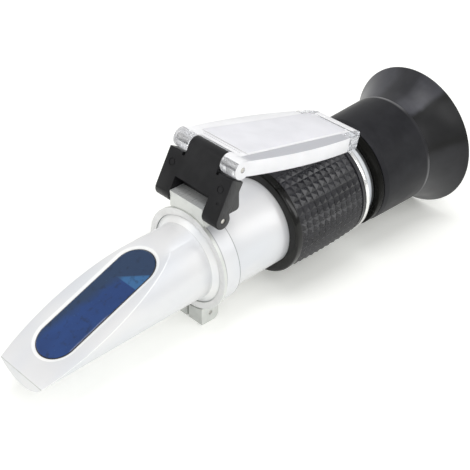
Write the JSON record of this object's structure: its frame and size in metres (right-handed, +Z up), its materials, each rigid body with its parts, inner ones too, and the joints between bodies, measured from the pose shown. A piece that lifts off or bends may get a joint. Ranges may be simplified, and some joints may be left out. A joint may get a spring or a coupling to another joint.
{
  "type": "handheld prism refractometer",
  "caption": "Handheld prism refractometer with a slanted prism head, a clear daylight plate on a double hinge, a rubber grip and a focusing eyepiece with a flared eyecup.",
  "frame": {"origin": "bottom centre of the bounding box, on the bench that the clamp lug and the eyecup rim rest on", "axes": "+X along the instrument towards the eye, +Z up, +Y to the left seen from the eye; the optical axis rises 1.52 degrees towards the eye"},
  "size_m": [0.1612, 0.0478, 0.0561],
  "materials": {
    "satin_aluminium": "satin anodised, fine lengthwise grain",
    "blasted_aluminium": "bead blasted",
    "bright_aluminium": "bright turned",
    "prism_glass": "polished deep blue glass",
    "optical_glass": "coated optical glass",
    "dark_sealant": "smooth sealing compound",
    "steel": "plain stainless",
    "bimetal": "rolled strip",
    "brass": "turned",
    "gloss_black": "gloss black",
    "black_plastic": "fine moulded texture",
    "black_anodised": "matte black anodised",
    "grip_rubber": "small diamond knurl",
    "eyecup_rubber": "matte soft rubber",
    "o_ring_rubber": "smooth",
    "clear_acrylic": "clear moulded acrylic"
  },
  "bodies": {
    "root": {"prism_housing": "satin_aluminium", "main_prism": "prism_glass", "prism_seal": "dark_sealant", "hinge_collar": "blasted_aluminium", "collar_clamp_screw": "steel", "main_barrel": "satin_aluminium", "front_trim_ring": "gloss_black", "grip_sleeve": "grip_rubber", "rear_ring": "bright_aluminium", "calibration_bush": "satin_aluminium", "carrier_spring": "steel", "field_stop": "black_anodised", "reticle_holder": "black_anodised", "reticle_glass": "optical_glass", "reticle_ring": "black_anodised"},
    "bracket": {"hinge_bracket": "black_plastic", "lower_hinge_pin": "steel", "upper_hinge_pin": "steel"},
    "plate": {"daylight_plate": "clear_acrylic"},
    "calibration": {"calibration_screw": "brass"},
    "objective": {"lens_carrier": "black_anodised", "bimetal_strip": "bimetal", "strip_screw": "steel", "lens_cell": "black_anodised", "objective_lens": "optical_glass", "objective_retainer": "black_anodised"},
    "focus_slide": {"focus_o_ring": "o_ring_rubber"},
    "eyepiece": {"eyepiece_shell": "gloss_black", "field_lens": "optical_glass", "lens_spacer": "black_anodised", "eye_lens": "optical_glass", "eyepiece_ring": "black_anodised", "eyecup": "eyecup_rubber"}
  },
  "joints": [
    {"name": "bracket_hinge", "type": "hinge", "parent": "root", "child": "bracket", "pos_m": [-0.01966, 0, 0.03971], "axis": [0, -1, 0], "range_deg": [0, 139.86]},
    {"name": "plate_hinge", "type": "hinge", "parent": "bracket", "child": "plate", "pos_m": [-0.01243, 0, 0.05314], "axis": [0, -1, 0], "range_deg": [0, 74.7]},
    {"name": "calibration_turn", "type": "hinge", "parent": "root", "child": "calibration", "pos_m": [-0.00684, 0, 0.0356], "axis": [-0.0265, 0, 0.9996], "range_deg": [-270, 270]},
    {"name": "lens_shift", "type": "slide", "parent": "root", "child": "objective", "axis": [-0.0265, 0, 0.9996], "range_m": [-0.0003374, 0.0003374], "deforming": ["carrier_spring"]},
    {"name": "focus_travel", "type": "slide", "parent": "root", "child": "focus_slide", "axis": [0.9996, 0, 0.0265], "range_m": [-0.003, 0.002]},
    {"name": "focus_turn", "type": "hinge", "parent": "focus_slide", "child": "eyepiece", "pos_m": [0.04251, 0, 0.0229], "axis": [0.9996, 0, 0.0265], "range_deg": [-180, 120]}
  ],
  "couplings": [
    {"joint": "calibration_turn", "follows": "lens_shift", "rad_per_m": 13963},
    {"joint": "focus_turn", "follows": "focus_travel", "rad_per_m": 1047.2}
  ]
}
